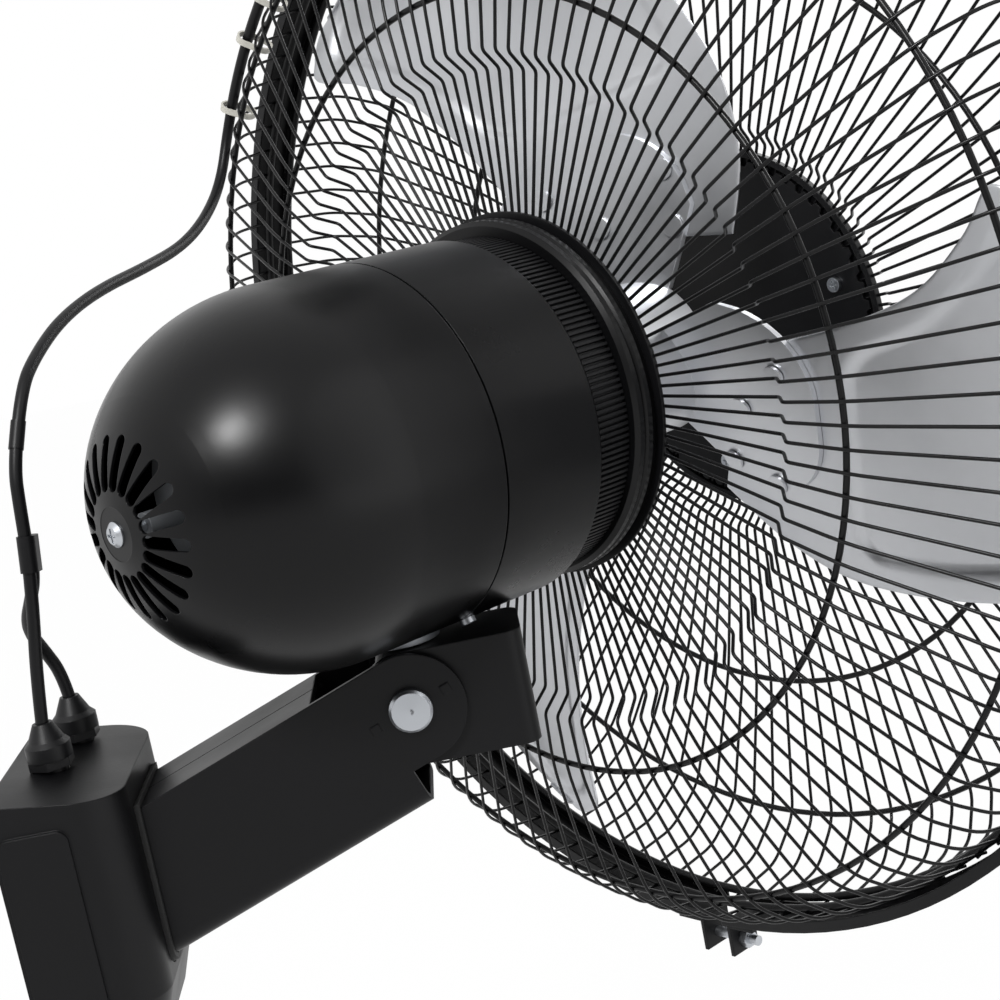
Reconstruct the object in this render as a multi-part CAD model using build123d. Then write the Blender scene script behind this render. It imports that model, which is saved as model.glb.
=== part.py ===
from build123d import *
import math
import os

# A wall mounted fan: a junction box on the wall, a steel arm, a tilting bracket, a motor head that
# swings about a vertical pin, a wire cage and three riveted blades.
# Millimetres. +Z is up, the wall is the plane Y = 0 and the fan stands out toward -Y. The origin is
# the middle of the wall plate's back. Head pieces are drawn about the fan's own axis, with local Z
# in the air's direction and zero at the cage's rear mid ring, and are then placed by HEAD.

# Driving dimensions: where the axes are
reach = 170.0  # wall to the swing axis
axis_height = 163.0  # origin to the fan's axis
swing_angle = 39.7  # the head is stored swung this far toward +X
tilt_drop = 105.0  # fan axis down to the tilt bolt
swing_back = 92.0  # cage's zero plane back to the swing axis

# Wall plate and junction box
plate_width = 96.0
plate_height = 108.0
plate_thick = 3.0
plate_hole_x = 72.0
plate_hole_z = 88.0
plate_hole_r = 3.5
box_width = 106.0
box_height = 120.0
box_depth = 52.5
box_wall = 2.5
box_corner_r = 20.0
box_top_fall = 7.0
box_chin_height = 26.0
box_chin_back = 9.0
pad_margin = 11.0
pad_raise = 1.5

# Arm, tilt bolt and bracket
arm_rise = 20.4  # degrees above level, toward the head
arm_width = 48.0
arm_wall = 2.5
arm_end_r = 23.0
arm_foot = 39.0  # bolt axis down to the arm's lower flange
arm_flange_set_back = 13.0
arm_lid_set_back = 34.0
arm_edge_r = 7.0
arm_hole_margin = 3.0
bolt_r = 5.0
bolt_head_r = 9.0
bolt_head_height = 4.0
nut_across = 17.0
nut_thick = 8.0
friction_washer_thick = 0.9
friction_washer_r = 13.0
bracket_width = 41.0
bracket_wall = 2.5
bracket_front = 50.0  # swing axis forward to the bracket's web
bracket_rear = 16.0
bracket_drop = 82.0  # fan axis down to the bracket's top
bracket_height = 48.0
bracket_edge_r = 7.0
bracket_heel_r = 13.0
press_mark = 4.0
press_mark_pitch = 16.5
press_mark_raise = 0.5

# Swing pin and saddle
swing_pin_r = 7.0
swing_pin_top = 62.0  # fan axis down to the pin's top
swing_pin_foot = 92.0
saddle_length = 56.0
saddle_width = 44.0
boss_r = 17.0
boss_gap = 0.6
running_gap = 0.08
clear = 0.4

# Motor housing
housing_r = 77.5
housing_wall = 1.2
housing_drop = 3.0  # the housing hangs a little lower than the shaft
housing_front = -30.0
seam_z = -83.5
seam_gap = 1.0
dome_start = -125.0
dome_beyond = 6.5  # the dome is this much deeper than its radius
dome_side_back = 10.5  # the side arc's centre, beyond the axis
vent_count = 20
vent_inner_r = 16.0
vent_outer_r = 36.0
vent_width = 5.2
tail_screw_r = 5.0
tail_dimple_r = 10.5
tail_dimple_depth = 0.9
tail_pad_top = 2.6
lip_length = 9.0
seam_shank_r = 1.6
seam_screw_angles = (-112.0, -22.0, 68.0)
rib_set_in = 3.5  # the ribs stand this far inside the housing's side
rib_depth = 1.6
rib_count = 180
rib_length = 18.4
roll_stand_out = 1.5

# Motor
shaft_r = 6.0
shaft_beyond_nut = 1.0
stator_r = 58.0
stator_bore_r = 34.0
stator_rear = -100.0
stator_front = -62.0
winding_depth = 13.0
bell_wall = 5.0
rotor_gap = 0.5
bearing_r = 15.0
bearing_width = 11.0
front_bearing_z = -24.0
rear_bearing_z = -133.0

# Gear case behind the motor
gear_case_rear = -172.0
gear_case_r = 30.0
worm_r = 8.0
worm_rear = -160.0
worm_turns = 7
worm_pitch = 2.2
wheel_r = 9.0
wheel_teeth = 24
spindle_r = 3.0
gear_case_wall = 3.0
tail_boss_gap = 10.4  # the tail pad forward to the boss for its screw
tail_shank_r = 2.1
crank_z = -152.0
crank_disc_r = 13.0
crank_pin_offset = 8.0
crank_drop = 60.0

# Wire cage
cage_spokes = 120
spoke_phase = 113.05  # degrees, the first spoke
spoke_wire = 1.5
ring_wire = 2.7
rim_wire = 4.0
weld_bite = 0.15
flange_r = 81.0
flange_z = 2.2
flange_thick = 1.5
mid_ring_r = 174.0
outer_ring_r = 242.0
rim_beyond = 25.5  # outer ring out to the rim
rear_rim_z = 62.0
front_rim_z = 73.0
band_beyond = 7.5
band_wall = 1.2
band_rear = 56.0
band_front = 79.0
band_lip = 5.5
band_gap = 14.0
lug_length = 16.0
lug_drop = 17.0
lug_wall = 2.0
clamp_screw_r = 2.5
disc_r = 87.5
disc_z = 146.5
disc_thick = 1.4
disc_screw_r = 68.0
disc_screws = 3
disc_screw_phase = 45.0

# Blades
blade_count = 3
blade_phase = 78.0
blade_tip_r = 250.0
blade_root_r = 70.0
blade_thick = 1.5
blade_z = 70.0
spider_r = 104.0
spider_hub_r = 36.0
spider_thick = 3.0
spider_arm_width = 94.0
spider_arm_r = 38.0
spider_neck_width = 50.0
spider_neck_r = 58.0
hub_core_r = 20.0
hub_back = 20.0
hub_front = 14.0
sheet_start = 24.0
sheet_end = 262.0
sheet_half = 130.0
sheet_slope = (0.45, 0.08)
sheet_camber = (5.0, 12.0)
rivet_r = 3.0
rivet_head_r = 5.0
rivet_rows = ((87.0, -13.0), (87.0, 27.0), (63.0, 3.0), (63.0, 34.0))
rivet_head_gap = 0.2
nut_height = 9.0

# Leads
lead_r = 2.75
sleeve_r = 3.1
sleeve_length = 12.0
sleeve_gap = 0.4
gland_near = (-5.0, -19.0)
gland_far = (33.0, -23.0)
gland_across = 17.0
gland_height = 8.0
gland_dome = 7.0
coil_inner_r = 22.0
coil_turns = 3
coil_gap = 1.6
coil_at = 78.4  # degrees round the cage
coil_on_r = 236.0
coil_z = -5.6
coil_start = 47.7
coil_tail = 14.0  # straight lead between the coil and the plug
tied_beyond = 15.6  # outer ring out to the lead on the cage's shoulder
tied_z = 23.8
coil_approach = (114.5, 233.8, 8.5)
splice_length = 15.0
splice_pitch = 6.1  # the branch's end beside the lead it joins
plug_length = 34.0

# Worked out from the sizes above
swing = math.radians(swing_angle)
HEAD = Plane(
    origin=(
        swing_back * math.sin(swing),
        -reach - swing_back * math.cos(swing),
        axis_height,
    ),
    x_dir=(math.cos(swing), math.sin(swing), 0),
    z_dir=(math.sin(swing), -math.cos(swing), 0),
)
box_top = box_height / 2
dome_length = housing_r + dome_beyond
rib_ring_r = housing_r - rib_set_in
roll_ring_r = housing_r + roll_stand_out
rim_r = outer_ring_r + rim_beyond
band_r = rim_r + band_beyond
tied_r = outer_ring_r + tied_beyond
lip_r = housing_r - housing_wall - 0.2
bolt_height = axis_height - tilt_drop
bracket_top = axis_height - bracket_drop
ARM = Plane(
    origin=(0, -reach, bolt_height),
    x_dir=(0, math.cos(math.radians(arm_rise)), -math.sin(math.radians(arm_rise))),
    z_dir=(1, 0, 0),
)
written = []


def save(name, solids):
    """Write one node, as one solid or a group of separate solids."""
    if not isinstance(solids, (list, tuple)):
        solids = [solids]
    loose = [one for shape in solids for one in shape.solids()]
    whole = loose[0] if len(loose) == 1 else Compound(loose)
    whole.label = name
    export_step(whole, f"parts/{name}.step")
    written.append((name, len(loose), sum(one.volume for one in loose)))


def in_head(shape):
    """Place a shape that is drawn about the fan's axis."""
    return shape.moved(HEAD.location)


def turned(outline):
    """Solid of revolution about Z from (radius, height) points."""
    face = make_face(Polyline([(r, 0, z) for r, z in outline], close=True))
    return revolve(face, Axis.Z)


def tube(outer, inner, low, high):
    """A plain ring or bush about Z."""
    return turned([(inner, low), (outer, low), (outer, high), (inner, high)])


def rod(radius, low, high):
    """A cylinder about Z from one height to another."""
    return Cylinder(radius, high - low).moved(Location((0, 0, (low + high) / 2)))


def across(radius, left, right):
    """A cylinder along X."""
    return rod(radius, left, right).moved(Location((0, 0, 0), (0, 90, 0)))


def hexagon(across_flats, low, high):
    """A hexagonal prism about Z."""
    flat = RegularPolygon(across_flats / 2, 6, major_radius=False)
    return extrude(flat, high - low).moved(Location((0, 0, low)))


def round_about(shape, count, phase=0.0):
    """Copies of a shape turned evenly about Z."""
    return [shape.moved(Location((0, 0, 0), (0, 0, phase + 360 * i / count))) for i in range(count)]


def wire_along(points, radii, radius):
    """A round wire along straight runs and tangent arcs, each run a cylinder and each bend a torus."""
    pieces = []
    for edge in FilletPolyline(*points, radius=radii).edges():
        section = Plane(origin=edge @ 0, z_dir=edge % 0) * Circle(radius)
        if edge.geom_type == GeomType.LINE:
            pieces.append(extrude(section, edge.length))
            continue
        middle = edge.arc_center
        turn = Axis(middle, (edge @ 0 - middle).cross(edge % 0))
        pieces.append(revolve(section, turn, math.degrees(edge.length / edge.radius)))
    return pieces[0].fuse(*pieces[1:]).solid()


# Junction box on the wall


def wall_plate():
    plate = Box(plate_width, plate_thick, plate_height).moved(Location((0, -plate_thick / 2, 0)))
    plate = fillet(plate.edges().filter_by(Axis.Y), 8)
    for side in (-1, 1):
        for up in (-1, 1):
            spot = (side * plate_hole_x / 2, -plate_thick / 2, up * plate_hole_z / 2)
            plate -= Cylinder(plate_hole_r, plate_thick + 2).moved(Location(spot, (90, 0, 0)))
    return plate


def box_body(inset, width):
    """The box's outer form, or its hollow when inset by the wall."""
    front = -box_depth + inset
    top = box_top - inset
    side = [
        (0, top),
        (front, top - box_top_fall),
        (front, -box_top + box_chin_height),
        (front + box_chin_back, -top),
        (0, -top),
    ]
    face = make_face(Polyline([(width / 2, y, z) for y, z in side], close=True))
    body = extrude(face, amount=width, dir=(-1, 0, 0))
    long_edges = body.edges().filter_by(lambda e: abs(e.tangent_at(0.5).X) < 0.1)
    upright = long_edges.filter_by(lambda e: e.center().Y < front + box_chin_back)
    upright = upright.filter_by(lambda e: abs(e.tangent_at(0.5).Z) > 0.8)
    return fillet(upright, box_corner_r - inset)


def side_pad(side):
    """The raised panel on each side of the box."""
    deep = box_depth - box_corner_r - 4
    pad = Box(pad_raise * 2, deep, box_height - 2 * pad_margin)
    pad = fillet(pad.edges().filter_by(Axis.X), 5)
    return pad.moved(Location((side * (box_width / 2 - pad_raise), -2 - deep / 2, -3)))


def arm_passage(gap):
    """The room that the arm takes where it goes through the box's front."""
    high = arm_end_r + arm_foot + 2 * gap
    middle = (arm_end_r - arm_foot) / 2
    block = Box(90, high, arm_width + 2 * gap)
    lower = block.edges().filter_by(Axis.X).filter_by(lambda e: e.center().Y < 0)
    block = fillet(lower, arm_edge_r + gap)
    along = (reach - box_depth) / math.cos(math.radians(arm_rise))
    return block.moved(ARM.location * Location((along, middle, 0)))


def box_cover():
    shell = box_body(0, box_width - 2 * pad_raise)
    shell -= box_body(box_wall, box_width - 2 * pad_raise - 2 * box_wall)
    shell -= Box(box_width, 8, box_height).moved(Location((0, 4, 0)))
    shell += side_pad(1)
    shell += side_pad(-1)
    shell -= arm_passage(arm_hole_margin)
    for x, y in (gland_near, gland_far):
        shell -= rod(gland_across / 2 - 2.2, 0, box_height).moved(Location((x, y, 0)))
    return shell


def arm_collar():
    """A soft collar that closes the gap between the arm and the box."""
    collar = arm_passage(arm_hole_margin - clear) - arm_passage(clear / 2)
    slab = Box(box_width, box_wall + 2.6, box_height)
    return collar & slab.moved(Location((0, -box_depth + (box_wall + 2.6) / 2 - 2.0, 0)))


def box_floor_at(y):
    """Height of the box's sloping top at a place."""
    return box_top + box_top_fall * y / box_depth


def gland(spot):
    """Body under the box's top, body and nut above, for one lead."""
    x, y = spot
    seat = box_floor_at(y)
    under = hexagon(gland_across, seat - box_wall - 8, seat - box_wall - 1.5)
    thread = rod(gland_across / 2 - 2.5, seat - box_wall - 10, seat + 4)
    body = hexagon(gland_across, seat + 1.4, seat + 5) + thread
    body -= rod(lead_r, seat - 30, seat + 40)
    under -= rod(gland_across / 2 - 2.4, seat - 30, seat + 40)
    top = seat + 5.05
    cap = turned(
        [
            (lead_r, top),
            (gland_across / 2 + 1.0, top),
            (gland_across / 2 + 1.0, top + gland_height - 2),
            (gland_across / 2 - 1.0, top + gland_height),
            (lead_r + 1.4, top + gland_height + gland_dome),
            (lead_r, top + gland_height + gland_dome),
        ]
    )
    move = Location((x, y, 0))
    return body.moved(move), under.moved(move), cap.moved(move), top + gland_height + gland_dome


def terminal_block():
    block = Box(18, 14, 12)
    for x in (-5.5, 0, 5.5):
        block -= Cylinder(1.8, 9).moved(Location((x, 0, 3)))
    return block.moved(Location((-37, -plate_thick - 8, -46), (90, 0, 0)))


def capacitor():
    can = fillet(Box(20, 18, 40).edges().filter_by(Axis.Z), 4)
    return can.moved(Location((-37, -plate_thick - 10, 26)))


# Arm, bolt and bracket


def arm_outline(shrink, far):
    """The arm's side view in the arm's plane: x toward the wall, y upward."""
    r = arm_end_r - shrink
    foot = -arm_foot + shrink
    line = Polyline((far, r), (0, r))
    line += ThreePointArc((0, r), (-r, 0), (0, -r))
    line += Polyline((0, -r), (arm_flange_set_back, -r), (arm_flange_set_back, foot), (far, foot), (far, r))
    return make_face(line)


def arm():
    far = reach + 40
    body = extrude(arm_outline(0, far), amount=arm_width / 2, both=True)
    rounded = body.edges().filter_by(Axis.X).filter_by(lambda e: abs(e.center().Y + arm_foot) < 0.1)
    body = fillet(rounded, arm_edge_r)
    inner = Box(far * 2, arm_end_r + arm_foot - 2 * arm_wall, arm_width - 2 * arm_wall)
    inner = fillet(inner.edges().filter_by(Axis.X), arm_edge_r - arm_wall)
    middle = (arm_end_r - arm_foot) / 2
    body -= inner.moved(Location((0, middle, 0)))
    mouth = Box(2 * arm_lid_set_back, arm_end_r + arm_foot, arm_width - 2 * arm_wall)
    body -= mouth.moved(Location((0, (arm_end_r + arm_foot) / 2, 0)))
    body -= rod(bolt_r + running_gap, -arm_width, arm_width)
    seam = Box(far - arm_lid_set_back, 0.6, 0.8)
    body -= seam.moved(Location(((far + arm_lid_set_back) / 2, arm_end_r, 0)))
    for side in (-1, 1):
        mark = Box(press_mark, press_mark, press_mark_raise * 2)
        body += mark.moved(Location((side * press_mark_pitch, 0, -arm_width / 2)))
    body = body.moved(ARM.location)
    return body - Box(400, 200, 400).moved(Location((0, 100 - plate_thick, 0)))


def arm_feet():
    """Two angle tabs that carry the arm's end on the wall plate."""
    tabs = []
    inside = arm_width / 2 - arm_wall
    centre = -14.0
    for side in (-1, 1):
        leaf = Box(arm_wall, 22, 34).moved(Location((side * (inside - arm_wall / 2 - 0.05), 0, 0)))
        foot = Box(14, arm_wall, 34).moved(Location((side * (inside - 7.05), 11 - arm_wall / 2, 0)))
        tab = (leaf + foot).moved(Location((0, -plate_thick - 11, centre)))
        tabs.append(tab)
    return tabs


def bolt_line(shape):
    """Place a shape drawn along X on the tilt bolt's axis."""
    return shape.moved(Location((0, -reach, bolt_height)))


def tilt_bolt():
    side = -arm_width / 2
    shank = across(bolt_r, side - 1, arm_width / 2 + nut_thick + 4)
    head = turned(
        [
            (0, 0),
            (bolt_head_r, 0),
            (bolt_head_r, bolt_head_height - 1.2),
            (bolt_head_r - 1.2, bolt_head_height),
            (0, bolt_head_height + 0.3),
        ]
    )
    head = head.moved(Location((side, 0, 0), (0, -90, 0)))
    return bolt_line(shank + head)


def tilt_nut():
    start = arm_width / 2 + 1.6
    nut = hexagon(nut_across, 0, nut_thick) - rod(bolt_r, -1, nut_thick + 1)
    return bolt_line(nut.moved(Location((start, 0, 0), (0, 90, 0))))


def tilt_washer():
    ring = tube(10.5, bolt_r + 0.3, 0, 1.5)
    return bolt_line(ring.moved(Location((arm_width / 2 + 0.05, 0, 0), (0, 90, 0))))


def friction_washers():
    inner = bracket_width / 2 + 0.05
    ring = tube(friction_washer_r, bolt_r + 0.3, 0, friction_washer_thick)
    near = ring.moved(Location((-inner - friction_washer_thick, 0, 0), (0, 90, 0)))
    far = ring.moved(Location((inner, 0, 0), (0, 90, 0)))
    return [bolt_line(near), bolt_line(far)]


def tilt_spacer():
    half = bracket_width / 2 - bracket_wall - 0.05
    ring = tube(bolt_r + 1.9, bolt_r + running_gap, -half, half)
    return bolt_line(ring.moved(Location((0, 0, 0), (0, 90, 0))))


def tilt_bracket():
    length = bracket_front + bracket_rear
    middle = (bracket_rear - bracket_front) / 2
    block = Box(bracket_width, length, bracket_height)
    front = block.edges().filter_by(Axis.Z).filter_by(lambda e: e.center().Y < 0)
    block = fillet(front, bracket_edge_r)
    heel = block.edges().filter_by(Axis.X).filter_by(lambda e: e.center().Y > 0)
    block = fillet(heel, bracket_heel_r)
    hollow = Box(bracket_width - 2 * bracket_wall, length, bracket_height)
    upright = hollow.edges().filter_by(Axis.Z).filter_by(lambda e: e.center().Y < 0)
    hollow = fillet(upright, bracket_edge_r - bracket_wall)
    block -= hollow.moved(Location((0, bracket_wall, -bracket_wall)))
    block = block.moved(Location((0, middle - reach, bracket_top - bracket_height / 2)))
    block -= bolt_line(across(bolt_r + running_gap, -arm_width, arm_width))
    return block - swing_line(rod(swing_pin_r + 0.02, bracket_top - 10, bracket_top + 10))


# Swing pin


def swing_line(shape):
    """Place a shape drawn about Z on the swing axis."""
    return shape.moved(Location((0, -reach, 0)))


def swing_pin():
    """The pin is fixed in the bracket's top and carries the head."""
    top = axis_height - swing_pin_top
    foot = axis_height - swing_pin_foot
    pin = rod(swing_pin_r, foot, top)
    groove = tube(swing_pin_r + 1, swing_pin_r - 1.0, foot + 2.0, foot + 3.2)
    return swing_line(pin - groove)


def swing_retainer():
    """Retaining ring and washer under the bracket's top."""
    foot = axis_height - swing_pin_foot
    ring = tube(swing_pin_r + 2.2, swing_pin_r - 0.9, foot + 2.1, foot + 3.1)
    ring -= Box(4, 20, 20).moved(Location((0, 10, foot + 2.6)))
    washer = tube(swing_pin_r + 4.5, swing_pin_r + 0.2, foot + 3.3, bracket_top - bracket_wall - 0.05)
    return [swing_line(ring), swing_line(washer)]


def motor_saddle():
    """Cast block under the motor, bored for the swing pin."""
    low = -bracket_drop + boss_gap
    block = Box(saddle_width, 24, saddle_length)
    block = fillet(block.edges().filter_by(Axis.Y), 8)
    block = block.moved(Location((0, -housing_drop - 63, -swing_back)))
    block &= rod(housing_r - housing_wall - 2.2, -150, -40).moved(Location((0, -housing_drop, 0)))
    boss = rod(boss_r, 0, 15).moved(Location((0, low + 15, -swing_back), (90, 0, 0)))
    block += boss
    block -= rod(stator_r + 0.1, -160, 0)
    bore = rod(swing_pin_r + running_gap, 0, 60)
    block -= bore.moved(Location((0, -swing_pin_top + 0.5, -swing_back), (90, 0, 0)))
    return block


# Motor housing


def dome(outer, length, shoulder, lip, end):
    """A solid dome: two tangent arcs, a cylinder up to the shoulder and a narrower lip to the end."""
    tip = dome_start - length
    side_r = outer + dome_side_back
    tip_r = (side_r**2 - dome_side_back**2 - length**2) / (2 * (side_r - length))
    toward = Vector(dome_side_back, tip + tip_r - dome_start).normalized()
    joint = Vector(-dome_side_back, dome_start) + toward * side_r
    outline = TangentArc((outer, dome_start), (joint.X, joint.Y), tangent=(0, -1))
    outline += TangentArc((joint.X, joint.Y), (0, tip), tangent=outline % 1)
    step = [(outer, dome_start), (outer, shoulder), (lip, shoulder), (lip, end), (0, end)]
    outline += Polyline(*step, (0, tip))
    return revolve(Plane.XZ * make_face(outline), Axis.Z)


def vents():
    """Round-ended slots set like a dial round the tail."""
    middle = (vent_inner_r + vent_outer_r) / 2
    slot = SlotOverall(vent_outer_r - vent_inner_r, vent_width)
    cut = extrude(slot, 40).moved(Location((middle, 0, dome_start - dome_length - 10)))
    return round_about(cut, vent_count, 9)


def rear_housing():
    tail = dome_start - dome_length
    inner_r, inner_length = housing_r - housing_wall, dome_length - housing_wall
    lip_end = seam_z + seam_gap + lip_length
    shell = dome(housing_r, dome_length, seam_z, lip_r, lip_end)
    shell -= dome(inner_r, inner_length, seam_z - 3, lip_r - housing_wall, lip_end + 1)
    shell -= rod(tail_dimple_r, tail - 5, tail + tail_dimple_depth)
    shell += rod(tail_dimple_r + 0.4, tail + tail_dimple_depth, tail + tail_pad_top)
    shell -= rod(tail_shank_r + 0.1, tail - 5, tail + 5)
    for spot in seam_screw_spots():
        shell -= rod(seam_shank_r + 0.1, 0, housing_r + 5).moved(spot)
    for cut in vents():
        shell -= cut
    shell = shell.moved(Location((0, -housing_drop, 0)))
    return shell - saddle_window()


def saddle_window():
    """The opening in the housing's underside that the saddle's boss comes through."""
    hole = rod(boss_r + 2.5, 0, 40)
    return hole.moved(Location((0, -55, -swing_back), (90, 0, 0)))


def front_housing():
    rear = seam_z + seam_gap
    inner = housing_r - housing_wall
    shell = turned(
        [
            (inner, rear),
            (housing_r, rear),
            (housing_r, housing_front - 2),
            (housing_r - 1.6, housing_front),
            (rib_ring_r - 8, housing_front),
            (rib_ring_r - 8, housing_front - 1.6),
            (inner, housing_front - 1.6),
        ]
    )
    for spot in seam_screw_spots():
        shell -= rod(seam_shank_r + 0.1, 0, housing_r + 5).moved(spot)
    shell = shell.moved(Location((0, -housing_drop, 0)))
    return shell - saddle_window()


def tail_screw():
    tail = dome_start - dome_length
    head = turned(
        [
            (0, tail - 1.4),
            (tail_screw_r - 1.6, tail - 1.2),
            (tail_screw_r, tail + 0.3),
            (tail_screw_r, tail + tail_dimple_depth),
            (tail_shank_r, tail + tail_dimple_depth),
            (tail_shank_r, gear_case_rear - 6),
            (0, gear_case_rear - 6),
        ]
    )
    cross = Box(5.6, 1.1, 1.6) + Box(1.1, 5.6, 1.6)
    head -= cross.moved(Location((0, 0, tail - 1.2)))
    return head.moved(Location((0, -housing_drop, 0)))


def seam_screw_spots():
    """Where the screws stand that hold the front half on the rear half's lip."""
    spots = []
    for angle in seam_screw_angles:
        spots.append(Location((0, 0, seam_z + seam_gap + lip_length / 2), (0, 0, angle)) * Location((0, 0, 0), (0, 90, 0)))
    return spots


def seam_screws():
    top = housing_r + 2.4
    head = rod(3.1, housing_r + 0.05, top) + rod(seam_shank_r, lip_r - housing_wall, housing_r + 0.5)
    head -= Box(3.6, 0.8, 1.6).moved(Location((0, 0, top)))
    head -= Box(0.8, 3.6, 1.6).moved(Location((0, 0, top)))
    return [head.moved(Location((0, -housing_drop, 0)) * spot) for spot in seam_screw_spots()]


def rib_ring():
    """A toothed ring between the housing and the cage, where air passes."""
    points = []
    for i in range(rib_count):
        start = 360 * i / rib_count
        step = 360 / rib_count
        for share, radius in ((0.0, rib_ring_r), (0.5, rib_ring_r), (0.56, rib_ring_r - rib_depth), (0.94, rib_ring_r - rib_depth)):
            angle = math.radians(start + step * share)
            points.append((radius * math.cos(angle), radius * math.sin(angle)))
    ring = extrude(make_face(Polyline(points, close=True)), rib_length)
    ring -= rod(rib_ring_r - 8, -1, 20)
    return ring.moved(Location((0, -housing_drop / 2, housing_front + 0.3)))


def rolled_ring():
    """The bright double bead in front of the ribs."""
    low = housing_front + rib_length + 0.6
    return turned(
        [
            (rib_ring_r - 10, low),
            (roll_ring_r - 2, low),
            (roll_ring_r, low + 1.4),
            (roll_ring_r, low + 4.0),
            (roll_ring_r - 1.6, low + 5.2),
            (roll_ring_r, low + 6.4),
            (roll_ring_r, low + 9.0),
            (roll_ring_r - 2, low + 10.4),
            (roll_ring_r - 2, flange_z - 0.05),
            (rib_ring_r - 10, flange_z - 0.05),
        ]
    )


# Motor


def front_bell():
    inner = stator_r - bell_wall
    bell = turned(
        [
            (bearing_r, front_bearing_z - bearing_width / 2),
            (bearing_r + 6, front_bearing_z - bearing_width / 2 - 4),
            (inner, stator_front + 18),
            (inner, stator_front + 0.1),
            (stator_r, stator_front + 0.1),
            (stator_r, stator_front + 22),
            (rib_ring_r - 12, stator_front + 30),
            (rib_ring_r - 12, flange_z - 0.1),
            (rib_ring_r - 18, flange_z - 0.1),
            (rib_ring_r - 18, front_bearing_z + 2),
            (bearing_r + 6, front_bearing_z + bearing_width / 2),
            (bearing_r, front_bearing_z + bearing_width / 2),
        ]
    )
    for hole in round_about(rod(2.1, -14, 10).moved(Location((rib_ring_r - 15, 0, 0))), 4, 45):
        bell -= hole
    return bell


def rear_bell():
    inner = stator_r - bell_wall
    return turned(
        [
            (bearing_r, rear_bearing_z - bearing_width / 2),
            (bearing_r + 5, rear_bearing_z - bearing_width / 2),
            (stator_r, stator_rear - 20),
            (stator_r, stator_rear - 0.1),
            (inner, stator_rear - 0.1),
            (inner, stator_rear - 16),
            (bearing_r + 5, rear_bearing_z + bearing_width / 2),
            (bearing_r, rear_bearing_z + bearing_width / 2),
        ]
    )


def stator_windings():
    """Front and rear end turns of the stator, bound into rings."""
    low, high = stator_bore_r + 3, stator_r - bell_wall - 3
    rings = []
    for face, out in ((stator_front, 1), (stator_rear, -1)):
        tip = face + out * winding_depth
        base = face + out * 0.1
        ring = turned([(low, base), (high, base), (high, tip - out * 3), (high - 4, tip), (low + 4, tip), (low, tip - out * 3)])
        rings.append(ring)
    return rings


def bearing(z):
    return tube(bearing_r - 0.02, shaft_r + 0.02, z - bearing_width / 2, z + bearing_width / 2)


def crank_x():
    """The crank's upright spindle stands beside the worm."""
    return worm_r + wheel_r + clear


def gear_case():
    """A pot behind the rear bell for the worm and its wheel, with the tail screw's boss."""
    front = rear_bearing_z - bearing_width / 2 - 0.1
    case = rod(gear_case_r, gear_case_rear, front)
    case -= rod(gear_case_r - gear_case_wall, gear_case_rear + gear_case_wall, front + 1)
    spindle = rod(spindle_r + running_gap, 0, 60)
    case -= spindle.moved(Location((crank_x(), 0, crank_z), (90, 0, 0)))
    end = dome_start - dome_length + tail_pad_top + tail_boss_gap
    boss = rod(5.0, end, gear_case_rear + 1)
    boss -= rod(tail_shank_r + 0.05, end - 1, gear_case_rear - 4)
    return case + boss.moved(Location((0, -housing_drop, 0)))


def worm_rings():
    """The worm's crests on the shaft's tail."""
    profile = [(shaft_r - 0.5, worm_rear + 1)]
    for i in range(worm_turns):
        z = worm_rear + 1 + i * worm_pitch
        profile += [(worm_r - 1.2, z), (worm_r, z + 0.5), (worm_r, z + 1.1), (worm_r - 1.2, z + 1.6)]
    profile.append((shaft_r - 0.5, worm_rear + 0.4 + worm_turns * worm_pitch))
    return turned(profile)


def motor_shaft():
    """The rotor's shaft, with the worm cut on its tail."""
    tip = blade_z + hub_front + nut_height + 2 + shaft_beyond_nut
    return rod(shaft_r, worm_rear, tip) + worm_rings()


def rotor_core():
    outer = stator_bore_r - rotor_gap
    return tube(outer, shaft_r, stator_rear, stator_front)


def toothed_disc(radius, depth, teeth, thick):
    points = []
    for i in range(teeth):
        for share, r in ((0.0, radius), (0.4, radius), (0.55, radius - depth), (0.85, radius - depth)):
            angle = 2 * math.pi * (i + share) / teeth
            points.append((r * math.cos(angle), r * math.sin(angle)))
    return extrude(make_face(Polyline(points, close=True)), thick)


def crank_wheel():
    """Worm wheel, upright spindle and crank disc with its pin, turning as one."""
    wheel = toothed_disc(wheel_r, 1.2, wheel_teeth, 5).moved(Location((0, 0, -2.5)))
    spindle = rod(spindle_r, -5, crank_drop)
    disc = rod(crank_disc_r, crank_drop - 3, crank_drop)
    pin = rod(2.5, crank_drop - 1, crank_drop + 5.5).moved(Location((crank_pin_offset, 0, 0)))
    whole = wheel + spindle + disc + pin
    return whole.moved(Location((crank_x(), 0, crank_z), (90, 0, 0)))


# Wire cage


def rear_spoke():
    """One rear spoke from the flange out to the rim, with its step."""
    wire = spoke_wire / 2
    seat = flange_z + flange_thick + wire - weld_bite
    step = ring_wire / 2 + wire - weld_bite
    points = [
        (flange_r - 9, seat),
        (141, seat),
        (149.2, -4.2),
        (mid_ring_r + 4, -step),
        (outer_ring_r + 3, 18.5 - step),
        (rim_r - 5, 37),
        (rim_r, rear_rim_z + 1),
    ]
    return wire_along([(r, 0, z) for r, z in points], [4, 4, 100, 32, 30], wire)


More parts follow.
